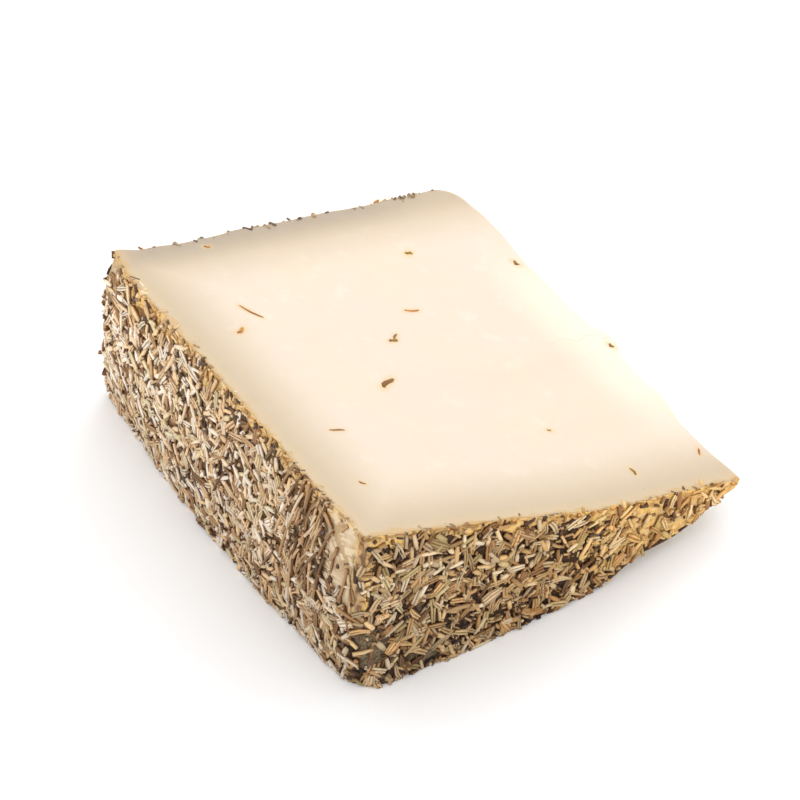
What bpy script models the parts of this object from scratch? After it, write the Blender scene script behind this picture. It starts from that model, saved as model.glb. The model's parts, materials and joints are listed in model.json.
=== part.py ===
"""Wedge of sheep's milk cheese with a rosemary crust, lying on one of its two cut faces.

Metres, +Z up. X runs from the rind of the wheel's side to the blunt tip near the wheel's centre,
Y runs from one flat face of the wheel to the other. The origin is in the middle of the resting face.
"""

import random
from math import asin, cos, pi, sin, sqrt

import bmesh
import bpy
from mathutils import Matrix, Vector, noise

# Driving dimensions of the wedge. Pairs are at the front and at the back of the wedge, or at its
# rind end and at its tip.
RIND_AT_FLOOR = (-0.0490, -0.0442)  # where the side meets the floor
RIND_AT_CUT = (-0.0473, -0.0436)  # where the side meets the cut face
TIP_EDGE = (0.0462, 0.0472)  # where the cut face ends at the tip
FRONT_AT_FLOOR = (-0.0528, -0.0524)
FRONT_AT_CUT = (-0.0518, -0.0525)
BACK_AT_FLOOR = (0.0530, 0.0545)
BACK_AT_CUT = (0.0506, 0.0567)
RIND_HEIGHT = (0.0410, 0.0404)  # height of the cut face above the floor at the rind
TIP_HEIGHT = (0.0094, 0.0136)  # the same at the tip
CORNER_LIFT = 0.0015  # how far the cut face turns up at its back corner by the rind
CORNER_LIFT_REACH = (0.10, 0.07)  # as shares of the wedge's length and of the wheel's height
# The wheel's rims, where a flat face turns into the side: round at the floor, sharp at the cut.
RIM_RADIUS_AT_FLOOR = (0.0062, 0.0020)
RIM_RADIUS_AT_CUT = (0.0016, 0.0012)
TIP_CORNER_RADIUS = (0.0008, 0.0055)  # the corners at the two ends of the tip

# The underside curls off the floor towards the tip in two steps: shares of the length, height.
UNDERSIDE_STEPS = ((0.592, 0.728, 0.0034), (0.80, 1.02, 0.0042))
NOSE_START = 0.80  # share of the length at which the blunt nose rounds under
NOSE_UNDERCUT = 0.0014

# How far the walls swell beyond straight lines between their corners.
SIDE_SWELL = 0.0019  # the round of the wheel, between floor and cut face
SIDE_SWELL_AT_FLOOR = 0.0029
SIDE_SWELL_AT_CUT = 0.0004
FACE_SWELL_AT_FLOOR = 0.0021
FACE_SWELL_AT_CUT = 0.0023
FACE_SWELL_PLACE = 1.4  # over 1 moves the swell at the cut face towards the tip
BACK_LEAN_PLACE = 1.2
TIP_BUMPS = ((0.455, 0.040, 0.0021), (0.86, 0.070, 0.0009), (0.27, 0.040, 0.0007), (0.14, 0.085, -0.0010))
CRAG_HEIGHT = 0.00065  # unevenness of the rind under the herbs
CRAG_SIZE = 0.0075
CUT_FACE_WAVE = 0.00022  # what the knife leaves on the cut face
CUT_FACE_WAVE_SIZE = 0.030

# Grid of the cheese body: lines along X, along Y and up the walls.
LINES_X, LINES_Y, LINES_Z = 14, 14, 6
EDGE_CROWDING = 0.5  # 0 spaces the lines evenly, 1 crowds them like a cosine towards the edges

# Clipped rosemary leaves of the crust.
LEAF_LENGTH = (0.0054, 0.0086)
LEAF_WIDTH = (0.0013, 0.0017)
LEAF_RISE = (0.00075, 0.0011)  # how far a leaf stands out of the rind
LEAF_ROOT = 0.0013  # how deep it is pressed in
LEAF_PITCH = 0.0058  # spacing of the leaves along and across a wall
LEAF_JITTER = 0.30  # share of the pitch by which a leaf may be off its place
LEAF_FLOOR_GAP = 0.0009  # kept between a leaf and the floor
LEAF_CUT_GAP = 0.0002  # kept between a leaf and the cut face's edge
LONG_LEAF = 0.0074  # leaves over this length are bent
LEAF_END_SCALE = (0.55, 0.75)
GROOVE_SHARE = 0.42  # how deep the groove on a leaf's back is, as a share of its rise
SEED = 41

# A patch on the side, under the front corner of the cut face, where the herbs have come off.
BARE_ALONG = (0.0, 0.14)
BARE_UP = (0.50, 1.0)

# Leaves caught in the paste, which show on the cut face: share of the length from the rind, share
# of the wheel's height from the front, leaf length, leaf width and heading in degrees.
CAUGHT_LEAVES = (
    (0.175, 0.620, 0.0048, 0.0009, -20),
    (0.175, 0.745, 0.0024, 0.0011, 35),
    (0.540, 0.800, 0.0026, 0.0016, 40),
    (0.600, 0.640, 0.0034, 0.0009, 25),
    (0.590, 0.560, 0.0036, 0.0013, 75),
    (0.600, 0.455, 0.0034, 0.0017, 95),
)
CAUGHT_RISE = 0.00030
CAUGHT_ROOT = 0.0010

PASTE_COLOUR = (0.93, 0.82, 0.66)
HERB_COLOUR = (0.36, 0.26, 0.13)
PASTE_ROUGHNESS = 0.45
HERB_ROUGHNESS = 0.85

STEP = 0.004  # share of a wall over which its tangents are measured


def clear_scene():
    for thing in list(bpy.data.objects):
        bpy.data.objects.remove(thing)


def plain_material(name, colour, roughness):
    material = bpy.data.materials.new(name)
    material.use_nodes = True
    shader = material.node_tree.nodes["Principled BSDF"]
    shader.inputs["Base Color"].default_value = (*colour, 1.0)
    shader.inputs["Roughness"].default_value = roughness
    return material


def smooth_step(low, high, value):
    share = min(1.0, max(0.0, (value - low) / (high - low)))
    return share * share * (3 - 2 * share)


def blend(first, second, share):
    return first + (second - first) * share


def rounded_corner(along, across, radius):
    """Moves a point near a square corner so that the corner becomes a quarter circle."""
    if along >= radius or across >= radius:
        return along, across
    a = 1 - along / radius
    b = 1 - across / radius
    return radius * (1 - a * sqrt(1 - b * b / 2)), radius * (1 - b * sqrt(1 - a * a / 2))


def rounded_plan(s, t, v):
    """The same shares of length and height, moved in so that the plan's four corners are round."""
    end = 0 if t < 0.5 else 1
    rim = blend(RIM_RADIUS_AT_FLOOR[end], RIM_RADIUS_AT_CUT[end], v)
    radius = rim if s < 0.5 else TIP_CORNER_RADIUS[end]
    length = TIP_EDGE[0] - RIND_AT_FLOOR[0]
    height = BACK_AT_FLOOR[0] - FRONT_AT_FLOOR[0]
    along, across = rounded_corner(min(s, 1 - s) * length, min(t, 1 - t) * height, radius)
    round_s = along / length if s < 0.5 else 1 - along / length
    round_t = across / height if t < 0.5 else 1 - across / height
    return round_s, round_t


def bow(share):
    """A flat arch, 0 at both ends and 1 in the middle."""
    return 4 * share * (1 - share)


def side_x(t, v):
    """Where the wheel's side lies: barrel-shaped along the wedge and round from floor to cut."""
    at_floor = blend(*RIND_AT_FLOOR, t) - SIDE_SWELL_AT_FLOOR * bow(t)
    at_cut = blend(*RIND_AT_CUT, t) - SIDE_SWELL_AT_CUT * bow(t)
    return blend(at_floor, at_cut, v) - SIDE_SWELL * sin(pi * v)


def tip_x(t):
    """Where the cut face ends at the tip, with the bumps that the knife has left."""
    edge = blend(*TIP_EDGE, t)
    for place, half_width, height in TIP_BUMPS:
        away = (t - place) / half_width
        edge += height / (1 + away ** 4)
    return edge


def face_y(at_floor, at_cut, swell_sign, place, s, v):
    """Where one of the wheel's two flat faces lies, bowed outwards along the floor and the cut."""
    low = blend(*at_floor, s) + swell_sign * FACE_SWELL_AT_FLOOR * bow(s)
    return blend(low, blend(*at_cut, place), v)


def underside(s):
    """Height of the wedge's underside above the floor."""
    return sum(height * smooth_step(start, stop, s) for start, stop, height in UNDERSIDE_STEPS)


def corner_lift(s, t):
    """The cut face turns up a little at its back corner by the rind."""
    along = 1 - smooth_step(0.0, CORNER_LIFT_REACH[0], s)
    across = smooth_step(1 - CORNER_LIFT_REACH[1], 1.0, t)
    return CORNER_LIFT * along * across


def skin_point(s, t, v):
    """Point of the wedge's skin: s runs from rind to tip, t from front to back, v from floor to cut."""
    s_round, t_round = rounded_plan(s, t, v)
    nose = smooth_step(NOSE_START, 1.0, s)
    x = blend(side_x(t_round, v), tip_x(t_round), s_round)
    x -= NOSE_UNDERCUT * nose * (1 - sin(pi * v / 2))

    front = face_y(FRONT_AT_FLOOR, FRONT_AT_CUT, -1, s_round, s_round, v)
    front -= FACE_SWELL_AT_CUT * v * sin(pi * s_round ** FACE_SWELL_PLACE) ** 2
    back = face_y(BACK_AT_FLOOR, BACK_AT_CUT, 1, s_round ** BACK_LEAN_PLACE, s_round, v)
    y = blend(front, back, t_round)

    top = blend(blend(*RIND_HEIGHT, t_round), blend(*TIP_HEIGHT, t_round), s_round)
    top += corner_lift(s_round, t_round)
    top += CUT_FACE_WAVE * noise.noise(Vector((x, y, 0.0)) / CUT_FACE_WAVE_SIZE)
    z = blend(underside(s), top, blend(v, 1 - cos(pi * v / 2), nose))

    # Crags of the rind push each crusted wall in and out.
    crag = CRAG_HEIGHT * noise.noise(Vector((x, y, z)) / CRAG_SIZE)
    x -= crag * (1 - s) ** 8
    y -= crag * ((1 - t) ** 8 - t ** 8)
    return Vector((x, y, z))


def crowded(line, lines):
    """Share at a grid line, with the lines closer together near both edges."""
    even = line / lines
    return blend(even, 0.5 - 0.5 * cos(pi * even), EDGE_CROWDING)


def cheese_body(paste, herbs):
    """The body as a box of grid lines whose skin is moved to the wedge's own shape."""
    body = bmesh.new()
    found = {}

    def corner(i, j, k):
        if (i, j, k) not in found:
            place = skin_point(crowded(i, LINES_X), crowded(j, LINES_Y), k / LINES_Z)
            found[i, j, k] = body.verts.new(place)
        return found[i, j, k]

    def patch(count_a, count_b, place, crusted):
        for a in range(count_a):
            for b in range(count_b):
                ring = (place(a, b), place(a + 1, b), place(a + 1, b + 1), place(a, b + 1))
                face = body.faces.new([corner(*at) for at in ring])
                face.material_index = 1 if crusted else 0

    patch(LINES_X, LINES_Y, lambda a, b: (a, b, LINES_Z), False)
    patch(LINES_Y, LINES_X, lambda a, b: (b, a, 0), False)
    patch(LINES_Y, LINES_Z, lambda a, b: (LINES_X, a, b), False)
    patch(LINES_Z, LINES_Y, lambda a, b: (0, b, a), True)
    patch(LINES_X, LINES_Z, lambda a, b: (a, 0, b), True)
    patch(LINES_Z, LINES_X, lambda a, b: (b, LINES_Y, a), True)

    # The resting face is one flat outline.
    flat = [face for face in body.faces if max(corner.co.z for corner in face.verts) < 1e-7]
    bmesh.ops.dissolve_faces(body, faces=flat)
    bmesh.ops.recalc_face_normals(body, faces=body.faces)
    mesh = bpy.data.meshes.new("manchego_wedge")
    body.to_mesh(mesh)
    body.free()
    cheese = bpy.data.objects.new("manchego_wedge", mesh)
    cheese.data.materials.append(paste)
    cheese.data.materials.append(herbs)
    bpy.context.scene.collection.objects.link(cheese)
    return cheese


def on_side(along, up):
    """Skin shares of a place on the wheel's side, along it from front to back and up it."""
    return 0.0, along, up


def on_front(along, up):
    """Skin shares of a place on the front flat face, along it from rind to tip and up it."""
    return along, 0.0, up


def on_back(along, up):
    """Skin shares of a place on the back flat face, along it from tip to rind and up it."""
    return 1 - along, 1.0, up


def wall_frame(wall, along, up):
    """Point on a wall with its outward normal, the direction along it and the direction up it."""
    point = skin_point(*wall(along, up))
    run = skin_point(*wall(along + STEP, up)) - skin_point(*wall(along - STEP, up))
    rise = skin_point(*wall(along, up + STEP)) - skin_point(*wall(along, up - STEP))
    normal = run.cross(rise).normalized()
    if wall is on_side:
        normal = -normal
    return point, normal, run.normalized(), normal.cross(run).normalized()


def leaf_mesh(length, width, rise, root, bend):
    """A clipped leaf along X: a bar with a grooved back that narrows towards both ends."""
    section = (
        (-0.50 * width, -root),
        (-0.50 * width, 0.80 * rise),
        (0.0, rise * (1 - GROOVE_SHARE)),
        (0.50 * width, rise),
        (0.50 * width, -root),
    )
    stations = [(-0.5, LEAF_END_SCALE[0]), (0.5, LEAF_END_SCALE[1])]
    if length > LONG_LEAF:
        stations.insert(1, (0.05, 1.0))
    leaf = bmesh.new()
    rings = []
    for share, scale in stations:
        aside = bend * (1 - 4 * share * share)
        ring = [leaf.verts.new((share * length, y * scale + aside, z)) for y, z in section]
        rings.append(ring)
    for near, far in zip(rings, rings[1:]):
        for k in range(len(section)):
            after = (k + 1) % len(section)
            leaf.faces.new((near[k], near[after], far[after], far[k]))
    leaf.faces.new(reversed(rings[0]))
    leaf.faces.new(rings[-1])
    bmesh.ops.recalc_face_normals(leaf, faces=leaf.faces)
    mesh = bpy.data.meshes.new("leaf")
    leaf.to_mesh(mesh)
    leaf.free()
    return mesh


def add_leaf(crust, herbs, mesh, point, normal, heading):
    """Places a leaf on a point with its back along the normal and its length along the heading."""
    mesh.materials.append(herbs)
    leaf = bpy.data.objects.new("leaf", mesh)
    crust.objects.link(leaf)
    aside = normal.cross(heading).normalized()
    lengthwise = aside.cross(normal)
    turned = Matrix((lengthwise, aside, normal)).transposed().to_4x4()
    leaf.matrix_world = Matrix.Translation(point) @ turned


def steepest_heading(angle, reach, room):
    """Turns a heading towards level until a leaf of that half length fits the room above and below."""
    if abs(sin(angle)) * reach <= room:
        return angle
    limit = asin(max(0.0, room) / reach)
    level = limit if sin(angle) > 0 else -limit
    return level if cos(angle) > 0 else pi - level


def crust_wall(crust, herbs, wall, wall_length, ends, draw):
    """Presses leaves evenly into one wall, in rows as many as the wall's height there takes."""
    columns = round(wall_length / LEAF_PITCH)
    for column in range(columns):
        middle = (column + 0.5) / columns
        height = skin_point(*wall(middle, 1.0)).z - skin_point(*wall(middle, 0.0)).z
        rows = max(1, round(height / LEAF_PITCH))
        for row in range(rows):
            along = middle + draw.uniform(-LEAF_JITTER, LEAF_JITTER) / columns
            up = (row + 0.5 + draw.uniform(-LEAF_JITTER, LEAF_JITTER)) / rows
            size = draw.random()
            angle = draw.uniform(0, 2 * pi)
            bend = draw.uniform(-0.0006, 0.0006)
            width = blend(*LEAF_WIDTH, draw.random())
            rise = blend(*LEAF_RISE, draw.random())
            if wall is on_side and along < BARE_ALONG[1] and up > BARE_UP[0]:
                continue
            length = blend(*LEAF_LENGTH, size)
            along = min(max(along, ends[0] / wall_length), 1 - ends[1] / wall_length)
            reach = length / 2
            point, normal, run, rise_way = wall_frame(wall, along, up)
            above = skin_point(*wall(along, 1.0)).z - point.z - width / 2 - LEAF_CUT_GAP
            below = point.z - skin_point(*wall(along, 0.0)).z - width / 2 - LEAF_FLOOR_GAP
            angle = steepest_heading(angle, reach, min(above, below))
            heading = run * cos(angle) + rise_way * sin(angle)
            mesh = leaf_mesh(length, width, rise, LEAF_ROOT, bend)
            add_leaf(crust, herbs, mesh, point, normal, heading)


def caught_leaves(crust, herbs):
    """Leaves inside the paste that the knife has bared on the cut face."""
    for s, t, length, width, degrees in CAUGHT_LEAVES:
        point = skin_point(s, t, 1.0)
        run = skin_point(s + STEP, t, 1.0) - skin_point(s - STEP, t, 1.0)
        across = skin_point(s, t + STEP, 1.0) - skin_point(s, t - STEP, 1.0)
        normal = run.cross(across).normalized()
        angle = degrees * pi / 180
        heading = run.normalized() * cos(angle) + across.normalized() * sin(angle)
        mesh = leaf_mesh(length, width, CAUGHT_RISE, CAUGHT_ROOT, 0.0)
        add_leaf(crust, herbs, mesh, point, normal, heading)


def fuse(cheese, crust):
    """Joins the leaves to the cheese as one solid and removes the loose leaves."""
    bpy.context.scene.collection.children.link(crust)
    bpy.context.view_layer.update()
    union = cheese.modifiers.new("fuse", "BOOLEAN")
    union.operation = "UNION"
    union.operand_type = "COLLECTION"
    union.collection = crust
    union.solver = "EXACT"
    union.material_mode = "TRANSFER"
    graph = bpy.context.evaluated_depsgraph_get()
    fused = bpy.data.meshes.new_from_object(cheese.evaluated_get(graph))
    cheese.modifiers.clear()
    cheese.data = fused
    fused.name = "manchego_wedge"
    for leaf in list(crust.objects):
        bpy.data.objects.remove(leaf)
    bpy.data.collections.remove(crust)


def main():
    clear_scene()
    paste = plain_material("paste", PASTE_COLOUR, PASTE_ROUGHNESS)
    herbs = plain_material("rosemary", HERB_COLOUR, HERB_ROUGHNESS)
    cheese = cheese_body(paste, herbs)
    crust = bpy.data.collections.new("rosemary_crust")
    draw = random.Random(SEED)
    flat_face_ends = (0.0030, 0.0045)
    crust_wall(crust, herbs, on_side, BACK_AT_FLOOR[0] - FRONT_AT_FLOOR[0], (0.0050, 0.0050), draw)
    face_length = TIP_EDGE[0] - RIND_AT_FLOOR[0]
    crust_wall(crust, herbs, on_front, face_length, flat_face_ends, draw)
    crust_wall(crust, herbs, on_back, face_length, flat_face_ends[::-1], draw)
    caught_leaves(crust, herbs)
    fuse(cheese, crust)


main()
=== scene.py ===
import json
from math import cos, pi, radians, sin, sqrt

import bmesh
import bpy
import numpy as np
from mathutils import Matrix, Vector, noise

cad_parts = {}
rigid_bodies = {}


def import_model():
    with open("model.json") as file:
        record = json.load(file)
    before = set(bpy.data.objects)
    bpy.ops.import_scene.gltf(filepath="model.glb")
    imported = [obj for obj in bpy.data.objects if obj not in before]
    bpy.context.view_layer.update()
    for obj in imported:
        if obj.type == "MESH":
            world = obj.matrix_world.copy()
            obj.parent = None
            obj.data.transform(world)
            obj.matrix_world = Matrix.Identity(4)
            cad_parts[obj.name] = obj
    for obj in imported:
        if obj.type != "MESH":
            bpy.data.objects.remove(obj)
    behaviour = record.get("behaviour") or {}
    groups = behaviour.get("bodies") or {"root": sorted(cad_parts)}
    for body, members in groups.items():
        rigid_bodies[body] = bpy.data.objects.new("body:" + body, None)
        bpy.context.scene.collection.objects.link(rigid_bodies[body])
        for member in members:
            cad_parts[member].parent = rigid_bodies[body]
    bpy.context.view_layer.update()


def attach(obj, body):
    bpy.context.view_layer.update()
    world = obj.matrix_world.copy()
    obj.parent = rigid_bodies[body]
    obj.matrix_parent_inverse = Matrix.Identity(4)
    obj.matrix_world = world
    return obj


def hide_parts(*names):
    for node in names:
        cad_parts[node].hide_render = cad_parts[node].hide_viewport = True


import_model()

bl_info = {
    "name": "Rosemary Crusted Cheese Wedge",
    "version": (1, 0, 0),
    "blender": (4, 5, 0),
    "location": "View3D > Sidebar > Cheese",
    "description": "Dresses a wedge of sheep's milk cheese with its paste, rind and rosemary crust",
    "category": "Object",
}

# The wedge's own form, in metres, as the solid has it. Pairs are front and back, or rind and tip.
RIND_AT_FLOOR = (-0.0490, -0.0442)
RIND_AT_CUT = (-0.0473, -0.0436)
TIP_EDGE = (0.0462, 0.0472)
FRONT_AT_FLOOR = (-0.0528, -0.0524)
FRONT_AT_CUT = (-0.0518, -0.0525)
BACK_AT_FLOOR = (0.0530, 0.0545)
BACK_AT_CUT = (0.0506, 0.0567)
RIND_HEIGHT = (0.0410, 0.0404)
TIP_HEIGHT = (0.0094, 0.0136)
CORNER_LIFT = 0.0015
CORNER_LIFT_REACH = (0.10, 0.07)
RIM_RADIUS_AT_FLOOR = (0.0062, 0.0020)
RIM_RADIUS_AT_CUT = (0.0016, 0.0012)
TIP_CORNER_RADIUS = (0.0008, 0.0055)
UNDERSIDE_STEPS = ((0.592, 0.728, 0.0034), (0.80, 1.02, 0.0042))
NOSE_START = 0.80
NOSE_UNDERCUT = 0.0014
SIDE_SWELL = 0.0019
SIDE_SWELL_AT_FLOOR = 0.0029
SIDE_SWELL_AT_CUT = 0.0004
FACE_SWELL_AT_FLOOR = 0.0021
FACE_SWELL_AT_CUT = 0.0023
FACE_SWELL_PLACE = 1.4
BACK_LEAN_PLACE = 1.2
TIP_BUMPS = ((0.455, 0.040, 0.0021), (0.86, 0.070, 0.0009), (0.27, 0.040, 0.0007), (0.14, 0.085, -0.0010))
CRAG_HEIGHT = 0.00065
CRAG_SIZE = 0.0075
CUT_FACE_WAVE = 0.00022
CUT_FACE_WAVE_SIZE = 0.030

# Leaves caught in the paste, bared on the cut face: both ends in millimetres, width, tint.
CAUGHT_LEAVES = (
    (-26.7, 27.1, -24.1, 21.9, 0.75, 0.25),
    (-32.6, 18.3, -30.2, 19.5, 1.05, 0.35),
    (-21.9, 48.6, -20.6, 48.4, 0.80, 0.15),
    (21.3, 35.4, 22.5, 36.2, 1.45, 0.80),
    (8.3, 17.0, 11.5, 16.4, 0.75, 0.20),
    (-1.6, 7.8, 0.3, 8.2, 1.15, 0.78),
    (-0.4, 8.0, 1.3, 10.0, 0.65, 0.62),
    (-12.8, -6.6, -9.2, -4.1, 1.50, 0.70),
    (-32.9, -16.9, -29.8, -17.9, 0.55, 0.45),
    (-37.1, -34.2, -36.3, -35.4, 0.60, 0.30),
    (13.6, -27.9, 14.3, -28.5, 0.60, 0.40),
    (23.7, -43.6, 23.6, -46.0, 0.75, 0.60),
    (43.6, -40.8, 42.6, -43.0, 0.50, 0.10),
    (44.3, 28.2, 44.9, 26.7, 1.20, 0.85),
    (46.6, -4.5, 47.2, -5.7, 1.10, 0.90),
    (-36.3, 51.6, -35.4, 51.3, 0.90, 0.12),
)


def smooth_step(low, high, value):
    share = min(1.0, max(0.0, (value - low) / (high - low)))
    return share * share * (3 - 2 * share)


def blend(first, second, share):
    return first + (second - first) * share


def bow(share):
    return 4 * share * (1 - share)


def rounded_corner(along, across, radius):
    if along >= radius or across >= radius:
        return along, across
    a = 1 - along / radius
    b = 1 - across / radius
    return radius * (1 - a * sqrt(1 - b * b / 2)), radius * (1 - b * sqrt(1 - a * a / 2))


def rounded_plan(s, t, v):
    end = 0 if t < 0.5 else 1
    rim = blend(RIM_RADIUS_AT_FLOOR[end], RIM_RADIUS_AT_CUT[end], v)
    radius = rim if s < 0.5 else TIP_CORNER_RADIUS[end]
    length = TIP_EDGE[0] - RIND_AT_FLOOR[0]
    height = BACK_AT_FLOOR[0] - FRONT_AT_FLOOR[0]
    along, across = rounded_corner(min(s, 1 - s) * length, min(t, 1 - t) * height, radius)
    round_s = along / length if s < 0.5 else 1 - along / length
    round_t = across / height if t < 0.5 else 1 - across / height
    return round_s, round_t


def side_x(t, v):
    at_floor = blend(*RIND_AT_FLOOR, t) - SIDE_SWELL_AT_FLOOR * bow(t)
    at_cut = blend(*RIND_AT_CUT, t) - SIDE_SWELL_AT_CUT * bow(t)
    return blend(at_floor, at_cut, v) - SIDE_SWELL * sin(pi * v)


def tip_x(t):
    edge = blend(*TIP_EDGE, t)
    for place, half_width, height in TIP_BUMPS:
        away = (t - place) / half_width
        edge += height / (1 + away ** 4)
    return edge


def face_y(at_floor, at_cut, swell_sign, place, s, v):
    low = blend(*at_floor, s) + swell_sign * FACE_SWELL_AT_FLOOR * bow(s)
    return blend(low, blend(*at_cut, place), v)


def front_y(s, v):
    flat = face_y(FRONT_AT_FLOOR, FRONT_AT_CUT, -1, s, s, v)
    return flat - FACE_SWELL_AT_CUT * v * sin(pi * s ** FACE_SWELL_PLACE) ** 2


def back_y(s, v):
    return face_y(BACK_AT_FLOOR, BACK_AT_CUT, 1, s ** BACK_LEAN_PLACE, s, v)


def underside(s):
    return sum(height * smooth_step(start, stop, s) for start, stop, height in UNDERSIDE_STEPS)


def corner_lift(s, t):
    """The cut face turns up a little at its back corner by the rind."""
    along = 1 - smooth_step(0.0, CORNER_LIFT_REACH[0], s)
    across = smooth_step(1 - CORNER_LIFT_REACH[1], 1.0, t)
    return CORNER_LIFT * along * across


def cut_height(s, t, x, y):
    """Height of the upper cut face, with the slight waves that the knife left."""
    top = blend(blend(*RIND_HEIGHT, t), blend(*TIP_HEIGHT, t), s)
    top += corner_lift(min(1.0, max(0.0, s)), min(1.0, max(0.0, t)))
    return top + CUT_FACE_WAVE * noise.noise(Vector((x, y, 0.0)) / CUT_FACE_WAVE_SIZE)


def skin_point(s, t, v):
    """Point of the wedge's skin: s runs from rind to tip, t from front to back, v from floor to cut."""
    s_round, t_round = rounded_plan(s, t, v)
    nose = smooth_step(NOSE_START, 1.0, s)
    x = blend(side_x(t_round, v), tip_x(t_round), s_round)
    x -= NOSE_UNDERCUT * nose * (1 - sin(pi * v / 2))
    y = blend(front_y(s_round, v), back_y(s_round, v), t_round)
    top = cut_height(s_round, t_round, x, y)
    z = blend(underside(s), top, blend(v, 1 - cos(pi * v / 2), nose))
    crag = CRAG_HEIGHT * noise.noise(Vector((x, y, z)) / CRAG_SIZE)
    x -= crag * (1 - s) ** 8
    y -= crag * ((1 - t) ** 8 - t ** 8)
    return Vector((x, y, z))


def cut_height_over(x, y):
    """Height of the cut face's plane over any place of the plan, also just outside the wedge."""
    s = t = 0.5
    for _ in range(3):
        side = side_x(min(1.0, max(0.0, t)), 1.0)
        tip = tip_x(min(1.0, max(0.0, t)))
        s = (x - side) / (tip - side)
        kept = min(1.0, max(0.0, s))
        t = (y - front_y(kept, 1.0)) / (back_y(kept, 1.0) - front_y(kept, 1.0))
    return cut_height(s, t, x, y), s, t


# Small helpers for building node trees.


class Wire:
    """One output socket of a shader or geometry tree that takes part in sums and products."""

    def __init__(self, nodes, socket):
        self.nodes = nodes
        self.socket = socket

    def _math(self, operation, *values):
        made = self.nodes.add("ShaderNodeMath", {"operation": operation}, dict(enumerate(values)))
        return self.nodes.out(made, 0)

    def __add__(self, other):
        return self._math("ADD", self, other)

    __radd__ = __add__

    def __sub__(self, other):
        return self._math("SUBTRACT", self, other)

    def __rsub__(self, other):
        return self._math("SUBTRACT", other, self)

    def __mul__(self, other):
        return self._math("MULTIPLY", self, other)

    __rmul__ = __mul__

    def at_least(self, other):
        return self._math("MAXIMUM", self, other)

    def at_most(self, other):
        return self._math("MINIMUM", self, other)

    def size(self):
        return self._math("ABSOLUTE", self)

    def fraction(self):
        return self._math("FRACT", self)

    def rise(self, low, high, to_low=0.0, to_high=1.0):
        """Smoothly goes from one value to another while this one passes from low to high."""
        values = {"Value": self, "From Min": low, "From Max": high, "To Min": to_low, "To Max": to_high}
        made = self.nodes.add("ShaderNodeMapRange", {"interpolation_type": "SMOOTHSTEP"}, values)
        return self.nodes.out(made, "Result")


class Nodes:
    """Adds nodes to one tree and joins them up."""

    def __init__(self, tree):
        self.tree = tree

    def add(self, kind, settings=None, values=None):
        node = self.tree.nodes.new(kind)
        for name, value in (settings or {}).items():
            if name == "stops":
                self._set_stops(node.color_ramp, value)
            else:
                setattr(node, name, value)
        for key, value in (values or {}).items():
            if isinstance(value, Wire):
                self.tree.links.new(value.socket, node.inputs[key])
            else:
                node.inputs[key].default_value = value
        return node

    def _set_stops(self, ramp, stops):
        while len(ramp.elements) > 1:
            ramp.elements.remove(ramp.elements[-1])
        ramp.elements[0].position = stops[0][0]
        ramp.elements[0].color = (*stops[0][1], 1.0)
        for place, colour in stops[1:]:
            ramp.elements.new(place).color = (*colour, 1.0)

    def out(self, node, key=0):
        return Wire(self, node.outputs[key])

    def attribute(self, name):
        node = self.add("ShaderNodeAttribute", {"attribute_name": name, "attribute_type": "GEOMETRY"})
        return self.out(node, "Fac")

    def place(self):
        return self.out(self.add("ShaderNodeTexCoord"), "Object")

    def axes(self, place):
        parts = self.add("ShaderNodeSeparateXYZ", None, {0: place})
        return tuple(self.out(parts, key) for key in ("X", "Y", "Z"))

    def turned(self, place, angle):
        """The place turned about the X axis."""
        values = {"Vector": place, "Axis": (1.0, 0.0, 0.0), "Angle": angle}
        return self.out(self.add("ShaderNodeVectorRotate", None, values), "Vector")

    def stretched(self, place, scale):
        made = self.add("ShaderNodeVectorMath", {"operation": "MULTIPLY"}, {0: place, 1: scale})
        return self.out(made, "Vector")

    def noise(self, place, scale, detail=3.0, rough=0.5, twist=0.0):
        values = {
            "Vector": place, "Scale": scale, "Detail": detail, "Roughness": rough, "Distortion": twist,
        }
        return self.out(self.add("ShaderNodeTexNoise", None, values), "Fac")

    def cells(self, place, scale, jitter=1.0):
        values = {"Vector": place, "Scale": scale, "Randomness": jitter}
        return self.add("ShaderNodeTexVoronoi", None, values)

    def ramp(self, factor, stops, interpolation="LINEAR"):
        node = self.add("ShaderNodeValToRGB", {"stops": stops}, {"Fac": factor})
        node.color_ramp.interpolation = interpolation
        return self.out(node, "Color")

    def mix(self, factor, first, second, kind="MIX"):
        node = self.add("ShaderNodeMix", {"data_type": "RGBA", "blend_type": kind})
        node.clamp_factor = True
        for key, value in ((0, factor), (6, first), (7, second)):
            if isinstance(value, Wire):
                self.tree.links.new(value.socket, node.inputs[key])
            elif key == 0:
                node.inputs[key].default_value = value
            else:
                node.inputs[key].default_value = (*value, 1.0)
        return self.out(node, 2)

    def toned(self, share, first, tone):
        """The first colour, multiplied by the tone as far as the share goes."""
        return self.mix(share, first, self.mix(1.0, first, tone, "MULTIPLY"))

    def bump(self, height, strength, distance):
        values = {"Height": height, "Strength": strength, "Distance": distance}
        return self.out(self.add("ShaderNodeBump", None, values), "Normal")


def finish_material(name, colour, roughness, normal, steady):
    """A material of one main shader. The callables build what varies, and steady holds the rest."""
    material = bpy.data.materials.new(name)
    material.use_nodes = True
    nodes = Nodes(material.node_tree)
    shader = material.node_tree.nodes["Principled BSDF"]
    for key, value in steady.items():
        shader.inputs[key].default_value = value
    wires = {"Base Color": colour(nodes), "Roughness": roughness(nodes), "Normal": normal(nodes)}
    for key, wire in wires.items():
        material.node_tree.links.new(wire.socket, shader.inputs[key])
    return material


# The cheese's own surface.


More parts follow.
